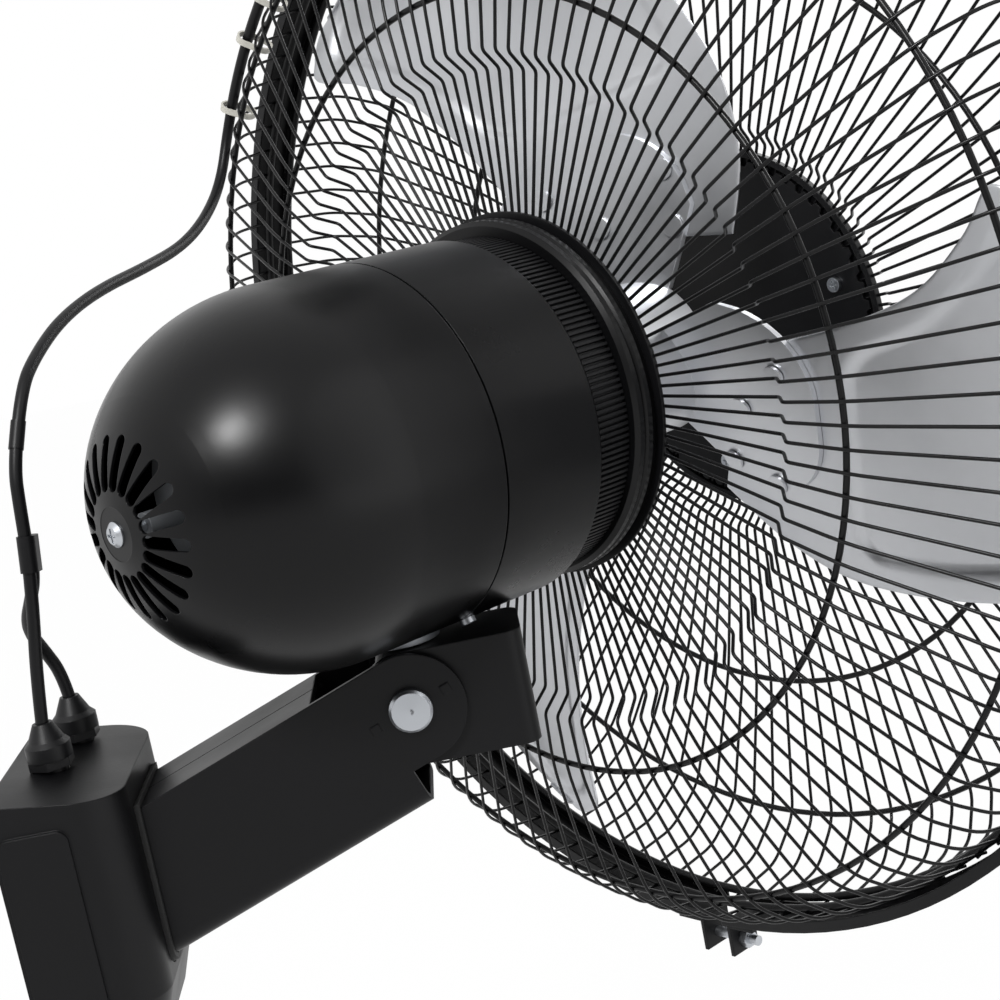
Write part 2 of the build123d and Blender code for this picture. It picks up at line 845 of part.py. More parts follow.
def front_spoke():
    wire = spoke_wire / 2
    step = ring_wire / 2 + wire - weld_bite
    seat = disc_z - wire + weld_bite
    points = [
        (disc_r - 12, seat),
        (disc_r + 5, seat),
        (disc_r + 12, 138.5),
        (mid_ring_r + 4, 133 + step),
        (outer_ring_r + 3, 120.5 + step),
        (rim_r - 4.5, 103),
        (rim_r, front_rim_z - 1),
    ]
    return wire_along([(r, 0, z) for r, z in points], [4, 4, 120, 24, 22], wire)


def save_spokes(name, wire):
    """Copies of one spoke all round the cage, written as an upper and a lower half."""
    spokes = round_about(wire, cage_spokes, spoke_phase)
    upper = [one for one in spokes if one.center().Y > 0]
    lower = [one for one in spokes if one.center().Y < 0]
    save(f"{name}_upper", [in_head(one) for one in upper])
    save(f"{name}_lower", [in_head(one) for one in lower])


def cage_ring(radius, z, wire):
    return Torus(radius, wire / 2).moved(Location((0, 0, z)))


def rim_rings():
    inset = spoke_wire / 2 + rim_wire / 2 - weld_bite
    rear = cage_ring(rim_r - inset, rear_rim_z - 1, rim_wire)
    front = cage_ring(rim_r - inset, front_rim_z + 1, rim_wire)
    return rear, front


def cage_flange():
    """Pressed plate that the rear spokes are welded to and the motor bolts through."""
    plate = tube(flange_r, shaft_r + 12, flange_z, flange_z + flange_thick)
    for cut in round_about(rod(2.6, -10, 20).moved(Location((rib_ring_r - 15, 0, 0))), 4, 45):
        plate -= cut
    return plate


def flange_screws():
    head = rod(4.2, flange_z + flange_thick + 0.05, flange_z + flange_thick + 3)
    shank = rod(2.0, flange_z - 12, flange_z + flange_thick + 1)
    return round_about((head + shank).moved(Location((rib_ring_r - 15, 0, 0))), 4, 45)


def front_disc():
    """The blank round badge plate at the cage's middle."""
    rim = disc_r
    plate = turned(
        [
            (0, disc_z),
            (rim - 3, disc_z),
            (rim - 3, disc_z - 2.6),
            (rim, disc_z - 2.6),
            (rim, disc_z + disc_thick - 0.6),
            (rim - 2, disc_z + disc_thick),
            (rim - 12, disc_z + disc_thick + 1.6),
            (0, disc_z + disc_thick + 2.4),
        ]
    )
    return plate


def clamp_disc():
    """Toothed backing plate that holds the front spokes' ends."""
    top = disc_z - spoke_wire + 2 * weld_bite - 0.02
    plate = toothed_disc(disc_r - 4.5, 2.5, 60, 1.4).moved(Location((0, 0, top - 1.4)))
    for angle in range(disc_screws):
        spot = Location((0, 0, 0), (0, 0, disc_screw_phase + 360 * angle / disc_screws))
        plate -= rod(1.8, top - 5, top + 5).moved(spot * Location((disc_screw_r, 0, 0)))
    return plate


def disc_screws_group():
    top = disc_z - spoke_wire + 2 * weld_bite - 1.4
    head = rod(3.4, top - 2.2, top - 0.05) + rod(1.7, top - 1, disc_z - 0.1)
    head -= Box(4.2, 0.8, 1.6).moved(Location((0, 0, top - 2.2)))
    head -= Box(0.8, 4.2, 1.6).moved(Location((0, 0, top - 2.2)))
    return round_about(head.moved(Location((disc_screw_r, 0, 0))), disc_screws, disc_screw_phase)


def rim_band():
    """Split hoop of channel section that clips the two halves together."""
    inner = band_r - band_wall
    hoop = turned(
        [
            (band_r - band_lip, band_rear),
            (band_r, band_rear),
            (band_r, band_front),
            (band_r - band_lip, band_front),
            (band_r - band_lip, band_front - band_wall),
            (inner, band_front - band_wall),
            (inner, band_rear + band_wall),
            (band_r - band_lip, band_rear + band_wall),
        ]
    )
    gap = Box(band_gap, 30, 60).moved(Location((0, -band_r, (band_front + band_rear) / 2)))
    return hoop - gap


def band_lugs():
    """Two folded lugs either side of the split, one for the screw and one for its nut."""
    width = band_front - band_rear - 5
    middle = (band_front + band_rear) / 2
    lugs = []
    for side in (-1, 1):
        start = side * (band_gap / 2 + 0.5)
        foot = [(start, 0), (start + side * lug_length, 0), (start + side * lug_length, -lug_wall)]
        foot += [(start + side * lug_wall, -lug_wall), (start + side * lug_wall, -lug_drop), (start, -lug_drop)]
        leaf = extrude(make_face(Polyline(foot, close=True)), width)
        leaf = leaf.moved(Location((0, -band_r - 0.35, middle - width / 2)))
        hole = across(clamp_screw_r + 0.1, -40, 40).moved(Location((0, -band_r - lug_drop + 6, middle)))
        lugs.append(leaf - hole)
    return lugs


def clamp_line(shape):
    middle = (band_front + band_rear) / 2
    return shape.moved(Location((0, -band_r - lug_drop + 6, middle)))


def clamp_screw():
    out = band_gap / 2 + 0.5 + lug_wall
    shank = across(clamp_screw_r, -out - 9, out + 0.5)
    head = across(4.4, out + 0.05, out + 3.6)
    slot = Box(2.4, 6.5, 1.0).moved(Location((out + 3.6, 0, 0)))
    return clamp_line(shank + head - slot)


def clamp_nut():
    out = band_gap / 2 + 0.5 + lug_wall
    nut = hexagon(8.0, 0, 4) - rod(clamp_screw_r, -1, 5)
    return clamp_line(nut.moved(Location((-out - 0.05, 0, 0), (0, -90, 0))))


# Blades


def sheet_section(x):
    """Slope and camber of the blades' sheet at a distance from the axis."""
    share = (x - sheet_start) / (sheet_end - sheet_start)
    slope = sheet_slope[0] + share * (sheet_slope[1] - sheet_slope[0])
    camber = sheet_camber[0] + share * (sheet_camber[1] - sheet_camber[0])
    return slope, camber


def sheet_height(x, y):
    """Height of the sheet's rear face, for rivets that stand square to it."""
    slope, camber = sheet_section(x)
    return slope * y + camber * (1 - (y / sheet_half) ** 2)


def pitched_sheet(thick, drop):
    """The pitched, cambered sheet that blades and spider arms are cut from, along X."""
    sections = []
    for x in (sheet_start, sheet_end):
        slope, camber = sheet_section(x)
        rise = sheet_half * slope
        low = [(x, -sheet_half, -rise - drop), (x, 0, camber - drop), (x, sheet_half, rise - drop)]
        high = [(px, py, pz + thick) for px, py, pz in low]
        edge = ThreePointArc(*low) + ThreePointArc(*high)
        edge += Line(low[0], high[0])
        edge += Line(low[2], high[2])
        sections.append(make_face(edge))
    return loft(sections, ruled=True)


def polar(radius, degrees):
    return (radius * math.cos(math.radians(degrees)), radius * math.sin(math.radians(degrees)))


def blade_plan():
    """Plan outline of a blade, swept forward on its leading side, with rounded tip corners."""
    lead = [polar(blade_root_r, -20)]
    for inset, angle in ((120, -22.9), (79, -25.6), (46, -30.2), (26, -33.6)):
        lead.append(polar(blade_tip_r - inset, angle))
    trail = []
    for inset, angle in ((15, 8.5), (48, 16), (88, 26.5), (118, 36.6), (149, 46.2)):
        trail.append(polar(blade_tip_r - inset, angle))
    trail.append(polar(blade_root_r, 56))
    tip_a, tip_b = polar(blade_tip_r - 9.5, -26), polar(blade_tip_r - 4, 3)
    outline = Spline(lead)
    outline += ThreePointArc(lead[-1], polar(blade_tip_r - 15.5, -31.6), tip_a)
    outline += ThreePointArc(tip_a, polar(blade_tip_r, -10), tip_b)
    outline += ThreePointArc(tip_b, polar(blade_tip_r - 7.5, 6.6), trail[0])
    outline += Spline(trail)
    outline += Line(trail[-1], lead[0])
    return extrude(make_face(outline), 160).moved(Location((0, 0, -80)))


def rivet_spots():
    """Place and lean of each rivet of one blade."""
    spots = []
    step = 0.5
    for radius, angle in rivet_rows:
        x, y = polar(radius, angle)
        along = (sheet_height(x + step, y) - sheet_height(x - step, y)) / (2 * step)
        aside = (sheet_height(x, y + step) - sheet_height(x, y - step)) / (2 * step)
        foot = (x, y, sheet_height(x, y) + blade_z)
        spots.append(Plane(origin=foot, z_dir=(-along, -aside, 1)).location)
    return spots


def blade():
    """One aluminium blade, drawn along X."""
    sheet = (pitched_sheet(blade_thick, 0) & blade_plan()).moved(Location((0, 0, blade_z)))
    for spot in rivet_spots():
        sheet -= rod(rivet_r + 0.1, -10, 10).moved(spot)
    return sheet


def hub_spider():
    """Hub with three pitched arms that the blades are riveted to."""
    drop = spider_thick + 0.1
    root = sheet_start + 2
    wide, narrow = spider_arm_width / 2, spider_neck_width / 2
    side = [(root, narrow), (spider_neck_r, wide), (spider_r, wide)]
    plan = make_face(Polyline(*side, *[(x, -y) for x, y in reversed(side)], close=True))
    plan = fillet(plan.vertices().group_by(Axis.X)[-1], spider_arm_r)
    sheet = pitched_sheet(spider_thick, drop) & extrude(plan, 160).moved(Location((0, 0, -80)))
    hub = tube(spider_hub_r, shaft_r, -hub_back, hub_front)
    hub -= tube(spider_hub_r - 4, hub_core_r, -hub_back - 1, -hub_back + 12)
    whole = hub.moved(Location((0, 0, blade_z)))
    for arm_sheet in round_about(sheet.moved(Location((0, 0, blade_z))), blade_count):
        whole += arm_sheet
    for i in range(blade_count):
        for spot in rivet_spots():
            turn = Location((0, 0, 0), (0, 0, 360 * i / blade_count))
            whole -= rod(rivet_r + 0.1, -10, 10).moved(turn * spot)
    return whole


def rivets():
    """Solid rivets with a low head on each face."""
    top = blade_thick + rivet_head_gap
    low = -spider_thick - 0.1 - rivet_head_gap
    rivet = rod(rivet_r, low - 1, top + 1)
    rivet += rod(rivet_head_r, top, top + 1.3)
    rivet += rod(rivet_head_r, low - 1.3, low)
    rivet = rivet.solid()
    return [rivet.moved(spot) for spot in rivet_spots()]


def hub_nut():
    low = blade_z + hub_front + 0.05
    washer = tube(13, shaft_r, low, low + 2)
    nut = hexagon(19, low + 1.9, low + 2 + nut_height) - rod(shaft_r, low - 1, low + nut_height + 3)
    return washer + nut


# Leads

sleeve_middle = Vector(8.5, -34.0, 194.5)
sleeve_along = Vector(5.5, -3.0, 12.5).normalized()
lead_rise_points = [
    (-5.0, -21.5, 97.0),
    (-3.5, -26.0, 123.0),
    (-1.0, -29.0, 147.0),
    (1.0, -30.0, 167.0),
    (3.0, -31.0, 182.0),
]
lead_run_points = [
    (16.2, -38.2, 212.0),
    (34.0, -43.0, 223.0),
    (62.0, -51.0, 234.5),
    (98.0, -63.0, 242.5),
    (142.0, -80.0, 247.5),
    (180.0, -93.5, 253.0),
    (210.0, -104.0, 263.5),
    (232.0, -113.5, 280.0),
]
splice_middle = Vector(-1.0, -28.9, 147.0)
splice_along = Vector(2.25, -2.0, 22.0).normalized()
splice_side = Vector(22.0, 0.0, -2.25).normalized()
branch_points = [
    (32.6, -22.2, 88.0),
    (29.0, -18.5, 99.5),
    (21.5, -16.2, 110.0),
    (13.5, -18.8, 118.5),
    (7.5, -23.5, 126.5),
]


def arc_radii(points, share=0.45):
    """The largest arc at each corner: a share of the shorter run over half the turn's tangent."""
    radii = []
    for before, here, after in zip(points, points[1:], points[2:]):
        run_in = Vector(*here) - Vector(*before)
        run_out = Vector(*after) - Vector(*here)
        half_turn = math.radians(run_in.get_angle(run_out)) / 2
        radii.append(share * min(run_in.length, run_out.length) / math.tan(half_turn))
    return radii


def lead_tube(name, points, radius=lead_r):
    radii = arc_radii(points)
    runs = [(Vector(*b) - Vector(*a)).length for a, b in zip(points, points[1:])]
    solid = wire_along(points, radii, radius)
    path = FilletPolyline(*points, radius=radii)
    share = solid.volume / (math.pi * radius**2 * path.length)
    print(name, "runs", [round(r) for r in runs], "radii", [round(r) for r in radii])
    print(name, "length", round(path.length), "volume over section times length", round(share, 4))
    return solid


def cage_point(radius, z, degrees):
    """A point given round the cage, in the part's own frame."""
    x, y = polar(radius, degrees)
    at = HEAD.location * Location((x, y, z))
    return tuple(at.position)


def coil_centre():
    x, y = polar(coil_on_r, coil_at)
    return Vector(x, y, coil_z)


def coil_point(t):
    """Point of the put-away coil after t turns, about the fan's axis."""
    pitch = 2 * lead_r + coil_gap
    outer = coil_inner_r + coil_turns * pitch
    half_layer = lead_r + coil_gap / 2
    if t < coil_turns:
        radius, z = outer - pitch * t, half_layer
    elif t < coil_turns + 0.5:
        share = (t - coil_turns) / 0.5
        radius, z = coil_inner_r, half_layer * math.cos(math.pi * share)
    else:
        radius, z = coil_inner_r + pitch * (t - coil_turns - 0.5), -half_layer
    angle = math.radians(coil_start + 360 * t)
    return coil_centre() + Vector(radius * math.cos(angle), radius * math.sin(angle), z)


def coil_tangent(t, step=0.002):
    return (coil_point(t + step) - coil_point(t - step)).normalized()


def biarc(a, ta, b, tb):
    """Two arcs that leave a along ta and reach b along tb."""
    chord = b - a
    both = ta + tb
    spread = 2 * (1 - ta.dot(tb))
    toward = chord.dot(both)
    reach_out = (-toward + math.sqrt(toward**2 + spread * chord.dot(chord))) / spread
    joint = (a + b + (ta - tb) * reach_out) / 2
    turn = ((b - tb * reach_out) - (a + ta * reach_out)).normalized()
    return [TangentArc(a, joint, tangent=ta), TangentArc(joint, b, tangent=turn)]


def lead_coil():
    quarters = int(coil_last_turn() * 4)
    knots = [(coil_point(i / 4), coil_tangent(i / 4)) for i in range(quarters + 1)]
    knots[0] = (coil_point(0), coil_heading())
    arcs = []
    for (a, ta), (b, tb) in zip(knots, knots[1:]):
        arcs += biarc(a, ta, b, tb)
    last, heading = knots[-1]
    end = last + heading * coil_tail
    arcs.append(Line(last, end))
    path = Wire([arc.edge() for arc in arcs])
    start = Plane(origin=knots[0][0], z_dir=knots[0][1])
    solid = sweep(start * Circle(lead_r), path)
    points = [coil_point(i / 72) for i in range(quarters * 18 + 1)]
    gaps = [(p - q).length for i, p in enumerate(points) for q in points[i + 36 :]]
    print("lead_coil length", round(path.length), "least gap to itself", round(min(gaps) - 2 * lead_r, 2))
    print("lead_coil volume over section times length", round(solid.volume / (math.pi * lead_r**2 * path.length), 4))
    return solid, (end, heading)


def coil_last_turn():
    """The coil ends a quarter turn early, pointing down along the cage."""
    return 2 * coil_turns + 0.25


def coil_heading():
    """Direction of the lead where the coil starts."""
    angle = math.radians(coil_start + 90)
    return Vector(math.cos(angle), math.sin(angle), 0)


def lead_on_cage():
    """Points of the lead where it is tied along the cage's shoulder and runs up to the coil."""
    points = [cage_point(tied_r, tied_z, a) for a in (34.0, 40.0, 46.0, 52.0)]
    points.append(cage_point(tied_r, tied_z - 3, 58.0))
    before = coil_point(0) - coil_heading() * 24
    for local in (Vector(*coil_approach), before, coil_point(0)):
        points.append(tuple((HEAD.location * Location(tuple(local))).position))
    return points


def lead_sleeve():
    """The stretch of lead in its sleeve, where it passes from the fixed side to the moving head."""
    sleeve = rod(sleeve_r, -sleeve_length / 2, sleeve_length / 2)
    return sleeve.moved(Plane(origin=sleeve_middle, z_dir=sleeve_along).location)


def lead_splice():
    """A moulded sleeve where the branch joins the rising lead."""
    wall = lead_r + 1.0
    body = SlotOverall(splice_pitch + 2 * wall, 2 * wall)
    body = extrude(body, splice_length / 2, both=True).moved(Location((splice_pitch / 2, 0, 0)))
    body -= rod(lead_r + 0.25, -splice_length, splice_length)
    body -= rod(lead_r + 0.05, -splice_length, 0.05).moved(Location((splice_pitch, 0, 0)))
    return body.moved(Plane(origin=splice_middle, x_dir=splice_side, z_dir=splice_along).location)


def ties():
    """Flat ties that hold the lead to the shoulder ring, between spokes."""
    long, wide = 18.5, 10.4
    lean = -math.degrees(math.atan2(0.66, 0.75))
    band = extrude(SlotOverall(long, wide), 1.5, both=True)
    band -= extrude(SlotOverall(long - 2.2, wide - 2.2), 3, both=True)
    out = []
    for angle in (36.55, 45.55, 51.55):
        place = Location((0, 0, 0), (0, 0, angle)) * Location((tied_r - 2.9, 0, tied_z + 2.5), (90, 0, 0))
        out.append(band.moved(place * Location((0, 0, 0), (0, 0, lean))))
    return out


def coil_ties():
    """Flat ties round the coil: one takes in the spokes behind it, one only binds the turns."""
    low = -2 * lead_r - coil_gap - 0.6
    inner = coil_inner_r - lead_r - 0.9
    outer = coil_inner_r + coil_turns * (2 * lead_r + coil_gap) + lead_r + 1.0
    shift = Vector(*polar(10, coil_at + 180))
    out = []
    for angle, near, far, high, aside in (
        (coil_at - 90, 11.5, outer + 0.7, 20.5, shift),
        (coil_at + 180, inner, outer, -low, Vector(0, 0, 0)),
    ):
        band = Box(far - near, 4, high - low) - Box(far - near - 1.6, 6, high - low - 1.6)
        band = band.moved(Location(((far + near) / 2, 0, (high + low) / 2)))
        at = Location(tuple(coil_centre() + aside)) * Location((0, 0, 0), (0, 0, angle))
        out.append(band.moved(at))
    return out


def plug(end, heading):
    """A moulded plug with two round pins at the lead's end."""
    body = turned(
        [
            (0, 0.05),
            (lead_r + 1.2, 0.05),
            (lead_r + 2.2, 12),
            (8.2, 18),
            (8.2, plug_length - 1),
            (7.2, plug_length),
            (0, plug_length),
        ]
    )
    pins = []
    for side in (-1, 1):
        pin = rod(2.0, plug_length + 0.05, plug_length + 18)
        pins.append(pin.moved(Location((side * 4.8, 0, 0))))
    place = Plane(origin=end, x_dir=(0, 0, 1), z_dir=heading).location
    turn = Location((0, 0, 0), (0, 0, 90))
    return in_head(body.moved(place)), [in_head(pin.moved(place * turn)) for pin in pins]


def main():
    os.makedirs("parts", exist_ok=True)
    plate = wall_plate()
    save("wall_plate", plate)
    save("box_cover", box_cover())
    save("arm_collar", arm_collar())
    save("arm", arm())
    save("arm_feet", arm_feet())
    glands = [gland(gland_near), gland(gland_far)]
    save("gland_bodies", [one[0] for one in glands])
    save("gland_nuts", [one[1] for one in glands] + [one[2] for one in glands])
    save("terminal_block", terminal_block())
    save("capacitor", capacitor())
    save("tilt_bolt", tilt_bolt())
    save("tilt_nut", [tilt_nut(), tilt_washer()])
    save("friction_washers", friction_washers())
    save("tilt_bracket", tilt_bracket())
    save("tilt_spacer", tilt_spacer())
    save("swing_pin", swing_pin())
    save("swing_retainer", swing_retainer())

    save("motor_saddle", in_head(motor_saddle()))
    save("front_bell", in_head(front_bell()))
    save("rear_bell", in_head(rear_bell()))
    save("stator_core", in_head(tube(stator_r, stator_bore_r, stator_rear, stator_front)))
    save("stator_windings", [in_head(ring) for ring in stator_windings()])
    save("bearings", [in_head(bearing(front_bearing_z)), in_head(bearing(rear_bearing_z))])
    save("gear_case", in_head(gear_case()))
    save("rear_housing", in_head(rear_housing()))
    save("front_housing", in_head(front_housing()))
    save("housing_screws", [in_head(tail_screw())] + [in_head(one) for one in seam_screws()])
    save("rib_ring", in_head(rib_ring()))
    save("rolled_ring", in_head(rolled_ring()))
    save("cage_flange", in_head(cage_flange()))
    save("flange_screws", [in_head(one) for one in flange_screws()])

    save_spokes("rear_spokes", rear_spoke())
    rim_rear, rim_front = rim_rings()
    rear_rings = [cage_ring(mid_ring_r, 0, ring_wire), cage_ring(outer_ring_r, 18.5, ring_wire)]
    save("rear_rings", [in_head(one) for one in rear_rings + [rim_rear]])
    save_spokes("front_spokes", front_spoke())
    front_rings = [cage_ring(mid_ring_r + 3, 133, ring_wire), cage_ring(outer_ring_r, 121, ring_wire)]
    save("front_rings", [in_head(one) for one in front_rings + [rim_front]])
    save("front_disc", in_head(front_disc()))
    save("clamp_disc", in_head(clamp_disc()))
    save("disc_screws", [in_head(one) for one in disc_screws_group()])
    save("rim_band", in_head(rim_band()))
    save("band_lugs", [in_head(one) for one in band_lugs()])
    save("clamp_screw", [in_head(clamp_screw()), in_head(clamp_nut())])

    save("motor_shaft", in_head(motor_shaft()))
    save("rotor_core", in_head(rotor_core()))
    save("crank_wheel", in_head(crank_wheel()))
    spin = Location((0, 0, 0), (0, 0, blade_phase))
    save("hub_spider", in_head(hub_spider().moved(spin)))
    one_blade = blade()
    for i, turned_blade in enumerate(round_about(one_blade, blade_count, blade_phase)):
        save(f"blade_{i + 1}", in_head(turned_blade))
    pins = [copy for pin in rivets() for copy in round_about(pin, blade_count, blade_phase)]
    save("rivets", [in_head(pin) for pin in pins])
    save("hub_nut", in_head(hub_nut()))

    near_top, far_top = glands[0][3], glands[1][3]
    into = sleeve_along * (sleeve_length / 2 + sleeve_gap)
    rise = [(*gland_near, near_top)] + lead_rise_points + [tuple(sleeve_middle - into)]
    save("lead_rise", lead_tube("lead_rise", rise))
    run = [tuple(sleeve_middle + into)] + lead_run_points + lead_on_cage()
    save("lead_run", lead_tube("lead_run", run))
    save("lead_sleeve", lead_sleeve())
    branch_end = splice_middle + splice_side * splice_pitch
    into = branch_end - splice_along * (splice_length / 2 + 3)
    branch = [(*gland_far, far_top)] + branch_points + [tuple(into), tuple(branch_end)]
    save("branch_lead", lead_tube("branch_lead", branch))
    save("lead_splice", lead_splice())
    coil, (end, heading) = lead_coil()
    save("lead_coil", in_head(coil))
    body, prongs = plug(end, heading)
    save("plug_body", body)
    save("plug_pins", prongs)
    save("lead_ties", [in_head(one) for one in ties() + coil_ties()])
    for name, count, volume in written:
        print(name, count, round(volume))


main()
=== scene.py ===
import math

import bpy
from mathutils import Matrix, Vector


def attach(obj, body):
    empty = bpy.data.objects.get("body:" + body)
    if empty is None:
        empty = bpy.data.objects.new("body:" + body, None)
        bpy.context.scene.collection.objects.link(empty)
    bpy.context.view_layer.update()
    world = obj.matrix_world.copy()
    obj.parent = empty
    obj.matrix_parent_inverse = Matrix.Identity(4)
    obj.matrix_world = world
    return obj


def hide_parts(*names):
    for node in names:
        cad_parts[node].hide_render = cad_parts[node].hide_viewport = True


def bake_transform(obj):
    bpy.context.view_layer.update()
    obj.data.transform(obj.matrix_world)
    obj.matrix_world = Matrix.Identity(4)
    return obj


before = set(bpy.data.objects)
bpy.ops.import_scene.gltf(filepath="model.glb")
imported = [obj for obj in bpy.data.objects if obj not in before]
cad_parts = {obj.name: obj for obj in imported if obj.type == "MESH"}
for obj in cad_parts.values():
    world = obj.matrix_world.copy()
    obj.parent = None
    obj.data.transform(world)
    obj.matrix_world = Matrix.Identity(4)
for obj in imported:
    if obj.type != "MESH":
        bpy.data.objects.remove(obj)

bpy.ops.object.select_all(action="DESELECT")
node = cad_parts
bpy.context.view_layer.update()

# Camera: low and to the fan's left, looking along the wall and rolled a little. Its place and its
# lens come from fitting the cage's spokes and rings.
camera = bpy.data.objects.new("camera", bpy.data.cameras.new("camera"))
bpy.context.scene.collection.objects.link(camera)
camera.data.sensor_width = 36.0
camera.data.lens = 65.9
camera_place = (-0.738, -0.215, 0.270)
camera_back = Vector((-0.9826, 0.0092, 0.1852)).normalized()
camera_right = Vector((-0.0448, -0.9809, -0.1892)).normalized()
camera_up = camera_back.cross(camera_right).normalized()
camera_right = camera_up.cross(camera_back)
camera_axes = Matrix((camera_right, camera_up, camera_back)).transposed()
camera.matrix_world = Matrix.Translation(camera_place) @ camera_axes.to_4x4()
bpy.context.scene.camera = camera


# Leads: round 5.5 mm flexible leads, PVC extruded over stranded copper. Extruding leaves a satin
# black skin with a faint mottle. The near lead rises from its gland and bends up into a sleeve.
def srgb(hex_colour):
    """Linear colour from an sRGB hex value."""
    values = [int(hex_colour[i : i + 2], 16) / 255 for i in (1, 3, 5)]
    return [v / 12.92 if v <= 0.04045 else ((v + 0.055) / 1.055) ** 2.4 for v in values] + [1.0]


def add_node(material, kind, links=(), **settings):
    """One shader node. A setting names an attribute or an input, with _ for a space."""
    made = material.node_tree.nodes.new(kind)
    for key, value in settings.items():
        if key in made.bl_rna.properties:
            setattr(made, key, value)
        else:
            made.inputs[key.replace("_", " ")].default_value = value
    for target, source in dict(links).items():
        material.node_tree.links.new(source, made.inputs[target])
    return made


mix_first, mix_second, mix_result = 6, 7, 2
clouds_per_metre = 22.0
noise_low, noise_high = 0.3, 0.7
edge_samples = 4


def speckled(name, dark, light, rough, grain_mm, bump_mm, edge_mm=0.0, **surface):
    """A finish with broad clouds of colour and gloss, a fine grain and softened edges."""
    material = bpy.data.materials.new(name)
    material.use_nodes = True
    material.node_tree.nodes.clear()
    at = add_node(material, "ShaderNodeTexCoord").outputs["Object"]
    grain = add_node(
        material, "ShaderNodeTexNoise", {"Vector": at}, Scale=1000 / grain_mm, Detail=3.0
    )
    clouds = add_node(
        material, "ShaderNodeTexNoise", {"Vector": at}, Scale=clouds_per_metre, Detail=4.0
    )
    tone = add_node(
        material, "ShaderNodeMix", {"Factor": clouds.outputs["Fac"]}, data_type="RGBA"
    )
    tone.inputs[mix_first].default_value = srgb(dark)
    tone.inputs[mix_second].default_value = srgb(light)
    gloss = add_node(
        material,
        "ShaderNodeMapRange",
        {"Value": clouds.outputs["Fac"]},
        From_Min=noise_low,
        From_Max=noise_high,
        To_Min=rough[0],
        To_Max=rough[1],
    )
    skin = add_node(
        material,
        "ShaderNodeBump",
        {"Height": grain.outputs["Fac"]},
        Strength=1.0,
        Distance=bump_mm / 1000,
    )
    if edge_mm:
        edge = add_node(material, "ShaderNodeBevel", samples=edge_samples, Radius=edge_mm / 1000)
        material.node_tree.links.new(edge.outputs["Normal"], skin.inputs["Normal"])
    links = {
        "Base Color": tone.outputs[mix_result],
        "Roughness": gloss.outputs["Result"],
        "Normal": skin.outputs["Normal"],
    }
    shader = add_node(material, "ShaderNodeBsdfPrincipled", links, **surface)
    add_node(material, "ShaderNodeOutputMaterial", {"Surface": shader.outputs["BSDF"]})
    return material


def dress(material, *names):
    """Give CAD nodes their finish."""
    for name in names:
        node[name].data.materials.clear()
        node[name].data.materials.append(material)


lead_skin = dict(IOR=1.53, Specular_IOR_Level=0.2)
lead_pvc = speckled(
    "extruded_black_pvc", "#09090a", "#101012", (0.36, 0.5), 3.0, 0.006, **lead_skin
)
lead_diameter = 0.0055
lead_sides = 4


def lead_tube(name, points, steps=10):
    """A round lead along one smooth spline. Returns the piece and the line that it follows."""
    curve = bpy.data.curves.new(name, "CURVE")
    curve.dimensions = "3D"
    spline = curve.splines.new("NURBS")
    spline.points.add(len(points) - 1)
    for knot, point in zip(spline.points, points):
        knot.co = (*point, 1.0)
    spline.order_u = 3
    spline.use_endpoint_u = True
    curve.resolution_u = steps
    holder = bpy.data.objects.new(f"{name}_line", curve)
    line = bpy.data.meshes.new_from_object(holder)
    path = [v.co.copy() for v in line.vertices]
    curve.bevel_depth = lead_diameter / 2
    curve.bevel_resolution = lead_sides
    curve.use_fill_caps = True
    tube = bpy.data.objects.new(name, bpy.data.meshes.new_from_object(holder))
    bpy.data.objects.remove(holder)
    bpy.context.scene.collection.objects.link(tube)
    tube.data.polygons.foreach_set("use_smooth", [True] * len(tube.data.polygons))
    tube.data.materials.clear()
    tube.data.materials.append(lead_pvc)
    return tube, path


near_gland = Vector((-0.005, -0.019, 0.0775))
sleeve_middle = Vector((0.0085, -0.034, 0.1945))
rise_points = [
    near_gland,
    (-0.005, -0.0215, 0.097),
    (-0.0035, -0.026, 0.123),
    (-0.001, -0.029, 0.147),
    (0.001, -0.030, 0.167),
    (0.003, -0.031, 0.182),
    sleeve_middle,
]
rise, rise_line = lead_tube("lead_rise_flex", rise_points)
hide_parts("lead_rise")
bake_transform(rise)

# Lead over the cage: from the sleeve the same lead runs out in one free bow, which takes up the
# swing and the tilt, and then lies along the cage's shoulder, where it is tied.
swing = math.radians(39.7)
head_reach = 0.092
pin_from_wall = 0.170
fan_axis_height = 0.163
head_axes = Matrix(
    ((math.cos(swing), 0, math.sin(swing)), (math.sin(swing), 0, -math.cos(swing)), (0, 1, 0))
)
head_origin = Vector(
    (
        head_reach * math.sin(swing),
        -pin_from_wall - head_reach * math.cos(swing),
        fan_axis_height,
    )
)
head_place = Matrix.Translation(head_origin) @ head_axes.to_4x4()


def round_cage(radius, degrees, z):
    """A point given round the fan's own axis."""
    angle = math.radians(degrees)
    return head_place @ Vector((radius * math.cos(angle), radius * math.sin(angle), z))


coil_turns = 3
coil_pitch = 0.0071
coil_inner = 0.022
coil_start_angle = 47.7
coil_from_axis = 0.236
coil_bearing = math.radians(78.4)
coil_height = -0.0056
coil_middle = Vector(
    (coil_from_axis * math.cos(coil_bearing), coil_from_axis * math.sin(coil_bearing), coil_height)
)


